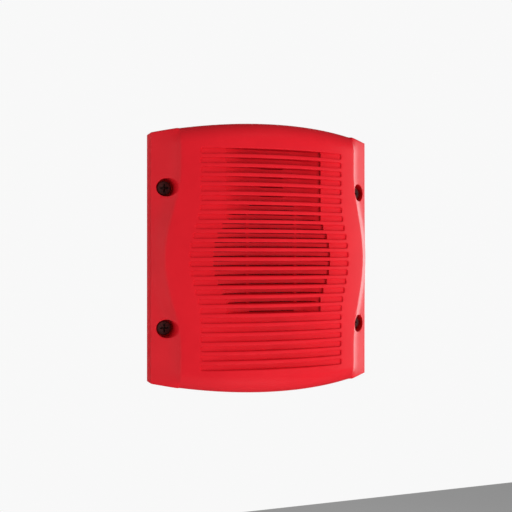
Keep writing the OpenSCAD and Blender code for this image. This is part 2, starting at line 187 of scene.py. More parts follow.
# Capacitors and transformer, with depths behind the wall
CAN_R = 3.8
CAN_DEPTHS = (3.65, 14.8)
CAN_CRIMP = (5.2, 6.2)
CRIMP_DEPTH = 0.4
CAN_EDGE = 0.5
CAN_FOOT_CHAMFER = 0.3
CAN_LIP_R = 3.0
CAN_SUNK = 0.3
CAN_AT = 31
CAN_ANGLE = math.radians(22)
LEG_W2 = 2.5
LEG_Z2 = 3.5
CORE_Z = -31.5
WINDING_Y = (7.7, 15.5)
TURNS = 12
TURN_ROWS = 6
WINDING_T = 2.55
WIRE_BULGE = 0.35
BORE_GAP = 0.62


def crease_h():
    """Height of the front where it meets a flange."""
    return DEPTH - FRONT_R + math.sqrt(FRONT_R**2 - BULGE_W2**2)


def front_height(x):
    """Height of the curved front at x."""
    return DEPTH - FRONT_R + np.sqrt(FRONT_R**2 - x**2)


def bump(z, reach):
    """Cosine bump that is 1 at mid height and 0 beyond reach."""
    return np.where(np.abs(z) < reach, (1 + np.cos(np.pi * z / reach)) / 2, 0.0)


def crease_x(z):
    """Half width of the raised front at z."""
    return BULGE_W2 + SWELL * bump(z, SWELL_Z2)


def grille_x(z):
    """Half width of the louvred area at z."""
    return GRILLE_W2 + GRILLE_SWELL * bump(z, GRILLE_SWELL_Z2)


def edge_z(x):
    """Half height of the arched outline at x."""
    return HALF_H - ARCH_R + np.sqrt(ARCH_R**2 - x**2)


def sharp_skin(x, z):
    """Height of the cover's face at (x, z), without grooves and before its creases are rounded."""
    side = np.minimum(np.abs(x), HALF_W)
    crease = crease_x(z)
    gap = np.clip(edge_z(side) - np.abs(z), 0, ROLL_W)
    roll = ROLL_R - np.sqrt(ROLL_R**2 - (ROLL_W - gap) ** 2)
    front = front_height(np.minimum(side, crease)) - roll
    past = np.clip(side - crease, 0, None)
    facet = front - FACET_SLOPE * past
    facet_end = BULGE_W2 + FACET_W
    facet_end_h = crease_h() - FACET_SLOPE * FACET_W
    share = (HALF_W - side) / (HALF_W - facet_end)
    flat = RIM_H + share * (facet_end_h - RIM_H - FLANGE_ROLL * roll)
    blend = FACET_BLEND * np.minimum(past / FACET_W, 1)
    return (facet + flat + np.where(side <= crease, facet - flat, np.hypot(facet - flat, blend))) / 2


def skin(x, z):
    """Height of the cover's face, with its creases rounded by averaging over a small disc."""
    total = sharp_skin(x, z)
    count = 1
    for radius in (0.5 * CREASE_R, CREASE_R):
        for angle in np.arange(8) * math.pi / 4:
            total = total + sharp_skin(x + radius * math.cos(angle), z + radius * math.sin(angle))
            count += 1
    return total / count


def edge_drop(x, z):
    """How far the outer edge's rounding lowers the face."""
    side = np.abs(x)
    gap_up = edge_z(np.minimum(side, HALF_W)) - np.abs(z)
    gap = np.clip(np.minimum(HALF_W - side, gap_up), 0, EDGE_R)
    return EDGE_R - np.sqrt(EDGE_R**2 - (EDGE_R - gap) ** 2)


def groove_centre(z):
    """Centre of the louvre groove nearest to z."""
    index = np.clip(np.round(z / PITCH - 0.5), -GROOVES / 2, GROOVES / 2 - 1)
    return (index + 0.5) * PITCH


def open_x(z):
    """Half width of the round open area at z."""
    return np.sqrt(np.clip(OPEN_R**2 - z**2, 0, None))


def well_x(z):
    """Half width of the deep well in the groove centred at z, which is wider beside the round open area."""
    return np.maximum(WELL_W2, np.where(np.abs(z) < SIDE_Z2, open_x(z), 0))


def groove_floor(x, centre):
    """Height of a groove's floor at x: a stepped well or a shallow bow, then ramps at both sides."""
    half, well = grille_x(centre), well_x(centre)
    side = np.minimum(np.abs(x), half)
    out = np.clip((side - well) / (half - well), 0, 1)
    low = np.clip(side / well, 0, 1)
    ramp_depth = RAMP_DEPTH + out * (END_DEPTH - RAMP_DEPTH)
    bow_depth = LOW_DEPTH + low * (RAMP_DEPTH - LOW_DEPTH)
    shallow = front_height(side) - np.where(side > well, ramp_depth, bow_depth)
    slope = np.clip((side - WELL_FLAT_W2) / (well - WELL_FLAT_W2), 0, 1)
    deep = WELL_H + slope * (front_height(well) - RAMP_DEPTH - WELL_STEP - WELL_H)
    in_well = np.clip((well - side) / WALL_RUN, 0, 1) * (centre > -OPEN_Z2)
    return shallow * (1 - in_well) + deep * in_well


def groove_rise(x, z):
    """How far a groove climbs from its mouth to its floor, and the grille's inside with it."""
    centre = groove_centre(z)
    half = grille_x(centre)
    side = np.minimum(np.abs(x), half)
    depth = np.where(np.abs(x) < half, front_height(side) - groove_floor(side, centre), 0)
    fade = np.clip((GRILLE_Z2 + GRILLE_FADE - np.abs(z)) / GRILLE_FADE, 0, 1)
    return GROOVE_SLANT * depth * fade


def grille_shift(x, z):
    """How far a place in or near the grille moves down, as the louvres sit a little below the middle."""
    edge = crease_x(z) - 1
    across = np.clip((edge - np.abs(x)) / (edge - grille_x(z)), 0, 1)
    along = np.clip((GRILLE_Z2 + DROP_FADE - np.abs(z)) / DROP_FADE, 0, 1)
    return GRILLE_DROP * across * along


def cut_grooves(x, z, height):
    """Lowers height into the louvre grooves, with rounded lips, ends and ramped floors, and slants them."""
    centre = groove_centre(z)
    half = grille_x(centre)
    inside_x = half - np.abs(x)
    inside_z = GROOVE_W2 - np.abs(z - centre)
    corner = (inside_x < END_R) & (inside_z < END_R)
    depth_in = np.where(
        corner, END_R - np.hypot(END_R - inside_x, END_R - inside_z), np.minimum(inside_x, inside_z)
    )
    floor = groove_floor(x, centre)
    lip = np.clip(depth_in + LIP_R, 0, LIP_R)
    lipped = height - (LIP_R - np.sqrt(LIP_R**2 - lip**2))
    wall = np.clip(depth_in / WALL_RUN, 0, 1)
    return z + groove_rise(x, z) * wall, lipped * (1 - wall) + floor * wall


def spread(stops):
    """Places up to each stop, where a stop is a place and the number of cells that lead to it."""
    places = [stops[0][0]]
    for (start, _), (end, count) in zip(stops, stops[1:]):
        places += [start + (end - start) * step / count for step in range(1, count + 1)]
    return places


def row_places():
    """Heights of the mesh's rows: dense at each groove's lips and walls."""
    offsets = [0, SLIT_IN, GROOVE_W2 - WALL_RUN, GROOVE_W2]
    offsets += [GROOVE_W2 + step for step in LIP_STEPS]
    rows = []
    for index in range(GROOVES):
        centre = (index - (GROOVES - 1) / 2) * PITCH
        rows += [centre - offset for offset in reversed(offsets)]
        rows += [centre + offset for offset in offsets[1:]]
        rows.append(centre + PITCH / 2)
    rows.insert(0, -GRILLE_Z2)
    return np.array(rows)


def steady(z, value):
    """value(z), held at its groove-centre value across each groove and blended along the slats."""
    centre = groove_centre(z)
    off = z - centre
    slat_start = GROOVE_W2 + LIP_R
    blend = np.clip((np.abs(off) - slat_start) / (PITCH / 2 - slat_start), 0, 1)
    last_centre = GRILLE_Z2 - PITCH / 2
    neighbour = np.clip(centre + np.sign(off) * PITCH, -last_centre, last_centre)
    return value(centre) * (1 - blend / 2) + value(neighbour) * blend / 2


def column_places(z):
    """Places of the mesh's columns on the right half, for one row at height z."""
    grille = float(steady(np.array(z), grille_x))
    well = float(steady(np.array(z), well_x))
    clear = max(0.0, POCKET_ROW - PITCH - abs(z))
    crease = min(float(crease_x(np.array(z))), BULGE_W2 + 0.45 * clear)
    stops = [
        (0, 0), (WINDOW_W2, 4), (RIB_X[0], 3), (RIB_X[1], 1), (well - WALL_RUN, 6), (well, 1),
        (grille - END_R, 6), (grille - WALL_RUN, 3), (grille, 1),
        *((grille + step, 1) for step in LIP_STEPS),
        (crease - CREASE_SPAN, 5), (crease + CREASE_SPAN, 6),
        (max(crease + CREASE_SPAN + 0.05, POCKET_X - POCKET_R), 1), (POCKET_X + POCKET_R, 16),
        (HALF_W - EDGE_R, 3), (HALF_W, 5),
    ]
    return spread(stops)


def round_corner(x, z):
    """Pulls the outline's four corners in to a small radius."""
    side = np.abs(x)
    corner_x = HALF_W - CORNER_R
    corner_z = edge_z(np.minimum(side, HALF_W)) - CORNER_R
    dx = (side - corner_x) / CORNER_R
    dz = (np.abs(z) - corner_z) / CORNER_R
    near = (dx > 0) & (dz > 0)
    size = np.where(near, np.hypot(dx, dz), 1)
    scale = np.where(near, np.maximum(dx, dz) / size, 1)
    new_x = np.where(near, corner_x + dx * scale * CORNER_R, side)
    new_z = np.where(near, corner_z + dz * scale * CORNER_R, np.abs(z))
    return np.sign(x) * new_x, np.sign(z) * new_z


def pocket_square(x, z):
    """Place of (x, z) in the nearest pocket's square block, where 1 is the block's edge."""
    return (np.abs(x) - POCKET_X) / POCKET_R, (np.abs(z) - POCKET_ROW) / PITCH


def round_pocket(x, z, radius):
    """Warps the square block of cells around each pocket into a round one of that radius."""
    dx, dz = pocket_square(x, z)
    size = np.maximum(np.abs(dx), np.abs(dz))
    length = np.maximum(np.hypot(dx, dz), 1e-6)
    share = np.clip((1 + POCKET_BLEND - size) / POCKET_BLEND, 0, 1)
    warped_x = POCKET_X + dx * size / length * radius
    warped_z = POCKET_Z + dz * size / length * radius
    new_x = np.abs(x) * (1 - share) + warped_x * share
    new_z = np.abs(z) * (1 - share) + warped_z * share
    return np.sign(x) * new_x, np.sign(z) * new_z


def cover_grid():
    """Places of the cover's mesh in front view, as arrays x and z of rows by columns."""
    rows = row_places()
    columns = [column_places(z) for z in rows]
    right = np.array(columns)
    x = np.hstack([-right[:, :0:-1], right])
    z = np.repeat(rows[:, None], x.shape[1], axis=1)
    steps = np.sin(np.arange(1, ARCH_ROWS + 1) / ARCH_ROWS * math.pi / 2)
    top = z[-1:] + steps[:, None] * (edge_z(x[-1:]) - z[-1:])
    x = np.vstack([np.repeat(x[:1], ARCH_ROWS, axis=0), x, np.repeat(x[-1:], ARCH_ROWS, axis=0)])
    z = np.vstack([-top[::-1], z, top])
    return x, z


def slit_cells(x, z):
    """True for the cells that a through slit opens."""
    centre = groove_centre(z)
    off = np.abs(z - centre)
    side = np.abs(x)
    in_slit = (off > SLIT_IN) & (off < GROOVE_W2 - WALL_RUN)
    middle = (np.abs(centre) < OPEN_Z2) & (side < RIB_X[0])
    sides = (np.abs(centre) < SIDE_Z2) & (side > RIB_X[1]) & (side < open_x(centre))
    window = (centre > OPEN_Z2) & (centre < WINDOW_TOP) & (side < WINDOW_W2)
    return in_slit & (middle | sides | window)


def inner_place(x, z):
    """Front-view place on the cover's inside that lies behind (x, z) on its face."""
    hold_x = POCKET_X + POCKET_R + 0.15
    side = np.abs(x)
    shrink = (HALF_W - WALL - hold_x) / (HALF_W - hold_x)
    inner_side = np.where(side > hold_x, hold_x + (side - hold_x) * shrink, side)
    limit = edge_z(side)
    up = np.abs(z)
    shrink = (limit - WALL - GRILLE_Z2) / (limit - GRILLE_Z2)
    inner_up = np.where(up > GRILLE_Z2, GRILLE_Z2 + (up - GRILLE_Z2) * shrink, up)
    return np.sign(x) * inner_side, np.sign(z) * inner_up


def add_object(name, mesh):
    piece = bpy.data.objects.new(name, mesh)
    bpy.context.scene.collection.objects.link(piece)
    return piece


def mid(grid):
    """Mean of each cell's four corners."""
    return (grid[1:, 1:] + grid[:-1, 1:] + grid[1:, :-1] + grid[:-1, :-1]) / 4


def perimeter(first, last):
    """Row and column of each vertex round a block, in order, starting at its first corner."""
    (r0, c0), (r1, c1) = first, last
    path = [(r0, c) for c in range(c0, c1)]
    path += [(r, c1) for r in range(r0, r1)]
    path += [(r1, c) for c in range(c1, c0, -1)]
    path += [(r, c0) for r in range(r1, r0, -1)]
    return path


class Shell:
    """Points, in millimetres, and faces gathered for one mesh."""

    def __init__(self):
        self.points = []
        self.faces = []

    def add(self, points):
        """Adds points and returns their indices."""
        start = len(self.points)
        self.points.extend(np.asarray(points))
        return list(range(start, len(self.points)))

    def join(self, near, far):
        """Adds quads between two rings of equal length."""
        for step in range(len(near)):
            after = (step + 1) % len(near)
            self.faces.append((near[step], near[after], far[after], far[step]))

    def mesh(self, name):
        mesh = bpy.data.meshes.new(name)
        faces = [tuple(int(i) for i in face) for face in self.faces]
        mesh.from_pydata((np.array(self.points) * MM).tolist(), [], faces)
        return mesh


def clean(mesh, merge=True):
    """Merges coincident points, or only drops loose ones; turns faces outwards and shades smooth."""
    tidy = bmesh.new()
    tidy.from_mesh(mesh)
    if merge:
        bmesh.ops.remove_doubles(tidy, verts=tidy.verts, dist=0.002 * MM)
        bmesh.ops.dissolve_degenerate(tidy, edges=tidy.edges, dist=0.001 * MM)
    else:
        loose = [v for v in tidy.verts if not v.link_faces]
        bmesh.ops.delete(tidy, geom=loose, context="VERTS")
    bmesh.ops.recalc_face_normals(tidy, faces=tidy.faces)
    tidy.to_mesh(mesh)
    tidy.free()
    mesh.shade_smooth()
    mesh.set_sharp_from_angle(angle=math.radians(38))
    return mesh


def cover_points(flat_x, flat_z):
    """Points of the cover's face and of its inside, each in rows and columns."""
    x, z = round_pocket(*round_corner(flat_x, flat_z), POCKET_R + POCKET_LIP)
    rim_drop, drop = edge_drop(x, z), grille_shift(x, z)
    z, height = cut_grooves(x, z, skin(x, z))
    outer = np.stack([x, rim_drop - height, z - drop], axis=-1)

    x, z = round_pocket(*inner_place(flat_x, flat_z), POCKET_R + POCKET_SKIRT)
    height = skin(x, z) - WALL
    behind_grille = (np.abs(z) < GRILLE_Z2 + 1) & (np.abs(x) < BULGE_W2)
    height = np.where(behind_grille, np.minimum(height, SKIN_H), height)
    z = z + groove_rise(x, z) - grille_shift(x, z)
    return outer, np.stack([x, -height, z], axis=-1)


def add_skins(shell, kept, face, inside):
    """Adds the face and the inside of the cover, cell by cell."""
    for r, c in zip(*np.nonzero(kept)):
        corners = [(r, c), (r, c + 1), (r + 1, c + 1), (r + 1, c)]
        shell.faces.append(tuple(face[corner] for corner in corners))
        shell.faces.append(tuple(inside[corner] for corner in reversed(corners)))


def add_slit_walls(shell, kept, in_slit, face, inside):
    """Adds the walls of the through slits, wherever a slit's cell meets a kept one."""
    for r, c in zip(*np.nonzero(in_slit)):
        sides = [
            (kept[r - 1, c], (r, c + 1), (r, c)),
            (kept[r + 1, c], (r + 1, c), (r + 1, c + 1)),
            (kept[r, c - 1], (r, c), (r + 1, c)),
            (kept[r, c + 1], (r + 1, c + 1), (r, c + 1)),
        ]
        for wanted, first, second in sides:
            if wanted:
                shell.faces.append((face[first], face[second], inside[second], inside[first]))


def add_rim(shell, outer, inner, face, inside):
    """Adds the rim's sides, down to a slightly bevelled foot on the wall."""
    path = perimeter((0, 0), (face.shape[0] - 1, face.shape[1] - 1))
    foot = np.array([outer[place] for place in path]) * (1, 0, 1)
    inner_foot = np.array([inner[place] for place in path]) * (1, 0, 1)
    lifted = shell.add(foot - (0, FOOT_BEVEL, 0))
    bevel = shell.add(foot + FOOT_SHARE * (inner_foot - foot))
    rings = [
        [face[place] for place in path], lifted, bevel, shell.add(inner_foot),
        [inside[place] for place in path],
    ]
    for near, far in zip(rings, rings[1:]):
        shell.join(far, near)


def pocket_blocks(in_pocket):
    """First and last corner of each pocket's block of cells."""
    rows, columns = np.nonzero(in_pocket)
    upper = rows > in_pocket.shape[0] / 2
    right = columns > in_pocket.shape[1] / 2
    for want_upper in (False, True):
        for want_right in (False, True):
            mine = (upper == want_upper) & (right == want_right)
            first = rows[mine].min(), columns[mine].min()
            yield first, (rows[mine].max() + 1, columns[mine].max() + 1)


def add_pocket(shell, block, outer, face, inside):
    """Adds a counterbore with its screw's hole, in place of a block of cells."""
    path = perimeter(*block)
    mouth = np.array([outer[place] for place in path])
    centre = np.array([math.copysign(POCKET_X, mouth[0][0]), 0, math.copysign(POCKET_Z, mouth[0][2])])
    arms = mouth * (1, 0, 1) - centre
    arms /= np.linalg.norm(arms, axis=1)[:, None]
    mouth_h = -mouth[:, 1]
    under_h = POCKET_H - POCKET_FLOOR
    profile = [
        (POCKET_R + 0.06, mouth_h - 0.07), (POCKET_R, mouth_h - POCKET_FILLET),
        (POCKET_R, POCKET_H + POCKET_FILLET), (POCKET_R - POCKET_FILLET, POCKET_H), (HOLE_R, POCKET_H),
        (HOLE_R, under_h), (POCKET_R + POCKET_SKIRT, under_h),
    ]
    rings = [[face[place] for place in path]]
    for radius, height in profile:
        points = centre + arms * radius
        points[:, 1] = -height
        rings.append(shell.add(points))
    rings.append([inside[place] for place in path])
    for near, far in zip(rings, rings[1:]):
        shell.join(near, far)


def build_cover():
    """The red front cover as one closed mesh: face, rim, pockets, slits and inside."""
    flat_x, flat_z = cover_grid()
    outer, inner = cover_points(flat_x, flat_z)
    middle_x, middle_z = mid(flat_x), mid(flat_z)
    dx, dz = pocket_square(middle_x, middle_z)
    in_pocket = (np.abs(dx) < 1) & (np.abs(dz) < 1)
    in_slit = slit_cells(middle_x, middle_z)
    kept = ~(in_pocket | in_slit)

    shell = Shell()
    face = np.array(shell.add(outer.reshape(-1, 3))).reshape(flat_x.shape)
    inside = np.array(shell.add(inner.reshape(-1, 3))).reshape(flat_x.shape)
    add_skins(shell, kept, face, inside)
    add_slit_walls(shell, kept, in_slit, face, inside)
    add_rim(shell, outer, inner, face, inside)
    for block in pocket_blocks(in_pocket):
        add_pocket(shell, block, outer, face, inside)
    mesh = shell.mesh("cover_shell")
    mesh.validate()
    return clean(mesh, merge=False)


# Round and wound inner pieces, each lofted through closed loops of (x, y, z) points in millimetres


def loft(name, loops, closed):
    """Mesh through loops of points, joined end to end or capped at its two ends."""
    shell = Shell()
    rings = [shell.add(loop) for loop in loops]
    for near, far in zip(rings, rings[1:]):
        shell.join(near, far)
    if closed:
        shell.join(rings[-1], rings[0])
    else:
        shell.faces += [rings[0], rings[-1]]
    return clean(shell.mesh(name))


def revolve(name, profile, centre=(0, 0), start=0.0, turn=2 * math.pi, steps=96):
    """Mesh of a closed profile of (radius, height above the wall) turned about a line through centre."""
    full = math.isclose(turn, 2 * math.pi)
    angles = [start + turn * step / steps for step in range(steps if full else steps + 1)]
    loops = [
        [(centre[0] + r * math.cos(a), -h, centre[1] + r * math.sin(a)) for r, h in profile] for a in angles
    ]
    return loft(name, loops, full)


def rounded_rectangle(half_a, half_b, radius, steps):
    """Outline of a rectangle with rounded corners, centred on the origin."""
    inner_a, inner_b = half_a - radius, half_b - radius
    corners = [(inner_a, inner_b), (-inner_a, inner_b), (-inner_a, -inner_b), (inner_a, -inner_b)]
    return [
        (a + radius * math.cos(turn), b + radius * math.sin(turn))
        for quarter, (a, b) in enumerate(corners)
        for turn in ((quarter + step / steps) * math.pi / 2 for step in range(steps + 1))
    ]


def ring_section(h0, h1):
    """Profile of a ring as wide as the gasket, with its edges rounded."""
    r0, r1 = GASKET_R
    outline = rounded_rectangle((r1 - r0) / 2, (h1 - h0) / 2, SOFT_EDGE, 4)
    return [((r0 + r1) / 2 + a, (h0 + h1) / 2 + b) for a, b in outline]


def sheet_section(radii, height_of, thickness):
    """Profile of a thin sheet whose upper face is at height_of(r)."""
    upper = [(r, height_of(r)) for r in radii]
    return upper + [(r, h - thickness) for r, h in reversed(upper)]


def screen_section():
    """Profile of the dust screen, with its edge pressed thinner."""
    low, high = SCREEN_H
    return [
        (0, low), (SCREEN_R - 0.4, low), (SCREEN_R, low + 0.1), (SCREEN_R, high - 0.08),
        (SCREEN_R - 0.4, high), (0, high),
    ]


def cone_section():
    """Profile of the paper cone: a flare with three pressed ribs and a flat edge."""
    def height(r):
        flare = min((r - NECK_R) / (FLARE_R - NECK_R), 1) ** CONE_CURVE
        ribs = sum(RIB_H * max(0, 1 - ((r - rib) / RIB_W2) ** 2) for rib in RIBS)
        return NECK_H + (CONE_H - NECK_H) * flare + ribs
    return sheet_section(np.linspace(NECK_R, CONE_R, 103), height, CONE_T)


def cap_section():
    """Profile of the dust cap: a thin dome."""
    def arc(radius):
        angles = np.linspace(0, math.asin(CAP_RIM_R / CAP_R), 16)
        return [(radius * math.sin(a), CAP_CENTRE_H + radius * math.cos(a)) for a in angles]
    return arc(CAP_R) + arc(CAP_R - CAP_T)[::-1]


def surround_section():
    """Profile of the cloth surround: a lip on the cone, a half roll, and a lip on the frame."""
    def arc(radius):
        angles = np.linspace(0, math.pi, 17)
        middle_h = SURROUND_H + 0.05
        return [(ROLL_MID_R - radius * math.cos(a), middle_h + radius * math.sin(a)) for a in angles]
    (first, last), top = SURROUND_REACH, SURROUND_H + SURROUND_LIP_T
    outer, inner = arc(HALF_ROLL_R), arc(HALF_ROLL_R - SURROUND_T)[::-1]
    return [(first, SURROUND_H), (first, top), *outer, (last, top), (last, SURROUND_H), *inner]


def spider_section():
    """Profile of the corrugated spider, flat where it is glued to the basket's ledge."""
    neck, glued, edge = SPIDER_R

    def height(r):
        share = min((r - neck) / (glued - neck), 1)
        return SPIDER_H + SPIDER_WAVE * (1 - math.cos(2 * math.pi * SPIDER_WAVES * share))

    return sheet_section(np.linspace(neck, edge, 91), height, SPIDER_T)


def capacitor_section():
    """Profile of a sleeved can: chamfered foot, crimp groove, and a lip round its sunken top."""
    foot, top = CAN_DEPTHS
    start, end = CAN_CRIMP
    shares = np.linspace(0, 1, 9)[1:]
    crimp = [
        (CAN_R - CRIMP_DEPTH * math.sin(math.pi * s), -start - (end - start) * s) for s in shares
    ]
    crown = [
        (CAN_R - CAN_EDGE * (1 - math.cos(a)), CAN_EDGE * (1 - math.sin(a)) - top)
        for a in np.linspace(0, math.pi / 2, 6)
    ]
    sunken = [(CAN_LIP_R, -top), (CAN_LIP_R - 0.1, CAN_SUNK - top), (0, CAN_SUNK - top)]
    base = [
        (0, -foot), (CAN_R - CAN_FOOT_CHAMFER, -foot), (CAN_R, -foot - CAN_FOOT_CHAMFER), (CAN_R, -start)
    ]
    return base + crimp + crown + sunken


def boss_section(foot_h):
    """Profile of a hollow boss that grows out of the cover's inside, with a flared root."""
    return [
        (PILOT_R, foot_h), (BOSS_R - BOSS_CHAMFER, foot_h), (BOSS_R, foot_h + BOSS_CHAMFER),
        (BOSS_R, SKIN_H + 0.1), (BOSS_R + 0.8, SKIN_H + 0.5), (PILOT_R, SKIN_H + 0.5),
    ]


def screw_section():
    """Profile of a cover screw: a thin shank under a low domed head."""
    top = POCKET_H + HEAD_T
    dome = [
        (HEAD_R - HEAD_DOME * (1 - math.cos(a)), top - HEAD_DOME * (1 - math.sin(a)))
        for a in np.linspace(0, math.pi / 2, 8)
    ]
    shank = [
        (0, SHANK_TIP), (SHANK_R - SHANK_CHAMFER, SHANK_TIP), (SHANK_R, SHANK_TIP + SHANK_CHAMFER),
        (SHANK_R, POCKET_H),
    ]
    return shank + [(HEAD_R - 0.2, POCKET_H), (HEAD_R, POCKET_H + 0.2)] + dome + [(0, top)]


def screw_mesh(centre):
    """Cover screw with a tapered cross recess, cut one arm after the other."""
    screw = add_object("screw", revolve("screw", screw_section(), centre, steps=64))
    for turned in (False, True):
        loops = []
        for above, half_l, half_w in RECESS:
            ends = [(half_l, half_w), (-half_l, half_w), (-half_l, -half_w), (half_l, -half_w)]
            spots = [(b, -a) if turned else (a, b) for a, b in ends]
            loops.append([(centre[0] + a, -POCKET_H - above, centre[1] + b) for a, b in spots])
        cutter = add_object("cutter", loft("cutter", loops, False))
        cut = screw.modifiers.new("cut", "BOOLEAN")
        cut.object = cutter
        evaluated = screw.evaluated_get(bpy.context.evaluated_depsgraph_get())
        shape = bpy.data.meshes.new_from_object(evaluated)
        screw.modifiers.clear()
        screw.data = shape
        bpy.data.objects.remove(cutter)
    bpy.data.objects.remove(screw)
    return clean(shape)


def winding_mesh():
    """The transformer's winding: ridged turns outside, and a plain bore inside."""
    first_y, last_y = WINDING_Y
    pitch = (last_y - first_y) / TURNS
    middle = (TURN_ROWS - 1) / 2

    def loop(y, grow, radius):
        outline = rounded_rectangle(LEG_W2 + grow, LEG_Z2 + grow, radius, 6)
        return [(a, y, CORE_Z + b) for a, b in outline]

    loops = []
    for row in range(TURNS * TURN_ROWS):
        across = (row % TURN_ROWS - middle) / (TURN_ROWS / 2)
        grow = WINDING_T + WIRE_BULGE * math.sqrt(1 - across**2)
        loops.append(loop(first_y + pitch * (row + 0.5) / TURN_ROWS, grow, grow))
    loops += [loop(y, BORE_GAP, 0.1) for y in (last_y, first_y)]
    return loft("transformer_turns", loops, True)


# Materials

# Turn that lays a flat pattern over a surface that faces the front or the back
FACE_ON = (math.pi / 2, 0, 0)


def new_material(name, colour, roughness, metallic=0.0):
    """A principled material whose plain values sit on the shader's own sockets."""
    material = bpy.data.materials.new(name)
    material.use_nodes = True
    shader = material.node_tree.nodes["Principled BSDF"]
    shader.inputs["Base Color"].default_value = (*colour, 1)
    shader.inputs["Roughness"].default_value = roughness
    shader.inputs["Metallic"].default_value = metallic
    return material, shader


def add_node(material, kind, **values):
    node = material.node_tree.nodes.new(kind)
    for name, value in values.items():
        node.inputs[name].default_value = value
    return node


def link(material, source, target):
    material.node_tree.links.new(source, target)


def place(material, turn=(0, 0, 0)):
    """Object coordinates, in metres, turned about each axis."""
    coordinates = material.node_tree.nodes.new("ShaderNodeTexCoord")
    mapping = add_node(material, "ShaderNodeMapping", Rotation=turn)
    link(material, coordinates.outputs["Object"], mapping.inputs["Vector"])
    return mapping.outputs["Vector"]


def shade(tones, factor):
    """A colour with every channel scaled by factor."""
    return tuple(factor * tone for tone in tones)


def add_bump(material, shader, height, strength, distance, invert=False):
    bump = add_node(material, "ShaderNodeBump", Strength=strength, Distance=distance)
    bump.invert = invert
    link(material, height, bump.inputs["Height"])
    link(material, bump.outputs["Normal"], shader.inputs["Normal"])


def add_grain(material, shader, scale, strength, distance):
    """Fine bump from noise, for a moulded or cast surface."""
    noise = add_node(material, "ShaderNodeTexNoise", Scale=scale, Detail=4.0, Roughness=0.6)
    link(material, place(material), noise.inputs["Vector"])
    add_bump(material, shader, noise.outputs["Fac"], strength, distance)


def tint(material, shader, factor, dark, light, start=0.0, end=1.0):
    """Base colour that goes from dark to light as factor goes from start to end."""
    ramp = material.node_tree.nodes.new("ShaderNodeValToRGB")
    first, last = ramp.color_ramp.elements
    first.position = start
    last.position = end
    first.color = (*dark, 1)
    last.color = (*light, 1)
    link(material, factor, ramp.inputs["Fac"])
    link(material, ramp.outputs["Color"], shader.inputs["Base Color"])


def vary_colour(material, shader, dark, light, scale):
    """Soft change of base colour between two close tones."""
    noise = add_node(material, "ShaderNodeTexNoise", Scale=scale, Detail=3.0, Roughness=0.55)
    link(material, place(material), noise.inputs["Vector"])
    tint(material, shader, noise.outputs["Fac"], dark, light, 0.3, 0.7)


def vary_roughness(material, shader, low, high, scale):
    """Soft change of roughness, as handling and moulding leave it."""
    noise = add_node(material, "ShaderNodeTexNoise", Scale=scale, Detail=2.0)
    link(material, place(material), noise.inputs["Vector"])
    scaled = add_node(material, "ShaderNodeMapRange", **{"To Min": low, "To Max": high})
    link(material, noise.outputs["Fac"], scaled.inputs["Value"])
    link(material, scaled.outputs["Result"], shader.inputs["Roughness"])


def red_plastic():
    """Glossy moulded plastic of the cover."""
    material, shader = new_material("red_plastic", (0.78, 0.011, 0.021), 0.42)
    shader.inputs["Specular IOR Level"].default_value = 0.32
    vary_colour(material, shader, (0.70, 0.0088, 0.0183), (0.745, 0.0105, 0.0205), 60)
    vary_roughness(material, shader, 0.32, 0.40, 140)
    add_grain(material, shader, 2600, 0.10, 0.00003)
    return material


def plain(name, colour, roughness, metallic):
    """Moulded, turned or cast surface with a little grain and uneven gloss."""
    material, shader = new_material(name, colour, roughness, metallic)
    vary_colour(material, shader, shade(colour, 0.85), colour, 180)
    vary_roughness(material, shader, 0.85 * roughness, min(1.0, 1.15 * roughness), 220)
    add_grain(material, shader, 900, 0.12, 0.00005)
    return material


def add_bands(material, axis, pitch):
    """Sine bands across an axis, one for every pitch, given in metres."""
    wave = add_node(material, "ShaderNodeTexWave", Scale=math.pi / 10 / pitch, Distortion=0.4, Detail=1.0)
    wave.bands_direction = axis
    link(material, place(material), wave.inputs["Vector"])
    return wave.outputs["Fac"]


def combine(material, operation, first, second):
    """Result of a Math node on two sockets, or on a socket and a number."""
    node = material.node_tree.nodes.new("ShaderNodeMath")
    node.operation = operation
    link(material, first, node.inputs[0])
    if isinstance(second, float):
        node.inputs[1].default_value = second
    else:
        link(material, second, node.inputs[1])
    return node.outputs["Value"]


def cells(material, size, dimensions="3D", turn=(0, 0, 0), **values):
    """Voronoi cells about one size across."""
    pattern = add_node(material, "ShaderNodeTexVoronoi", Scale=1 / size, **values)
    pattern.voronoi_dimensions = dimensions
    link(material, place(material, turn), pattern.inputs["Vector"])
    return pattern


def cell_tone(material, pattern):
    """One random tone for each cell of a pattern."""
    tone = material.node_tree.nodes.new("ShaderNodeSeparateColor")
    link(material, pattern.outputs["Color"], tone.inputs["Color"])
    return tone.outputs["Red"]


def woven(name, colour, roughness, pitch):
    """Plain weave of threads one pitch apart, with painted shade in the gaps between threads."""
    material, shader = new_material(name, colour, roughness)
    threads = combine(material, "MAXIMUM", add_bands(material, "X", pitch), add_bands(material, "Z", pitch))
    add_bump(material, shader, threads, 0.8, 0.3 * pitch)
    # Painted shade: the colour darkens in the gaps between threads, where the weave's relief is lowest.
    tint(material, shader, threads, shade(colour, 0.3), colour)
    return material


def porous(name, colour, roughness, cell):
    """Foam of open cells about one cell across, with painted shade deep in each cell."""
    material, shader = new_material(name, colour, roughness)
    depth = cells(material, cell).outputs["Distance"]
    add_bump(material, shader, depth, 1.0, 0.5 * cell)
    # Painted shade: the colour darkens towards each cell's centre, where the foam's pits are deepest.
    tint(material, shader, depth, shade(colour, 0.4), colour)
    return material


def spangled(name, colour, roughness, crystal):
    """Zinc-coated sheet with faint crystals about one crystal across."""
    material, shader = new_material(name, colour, roughness, 0.75)
    tone = cell_tone(material, cells(material, crystal))
    tint(material, shader, tone, shade(colour, 0.82), colour)
    vary_roughness(material, shader, 0.8 * roughness, 1.25 * roughness, 400)
    add_grain(material, shader, 1500, 0.08, 0.00003)
    return material


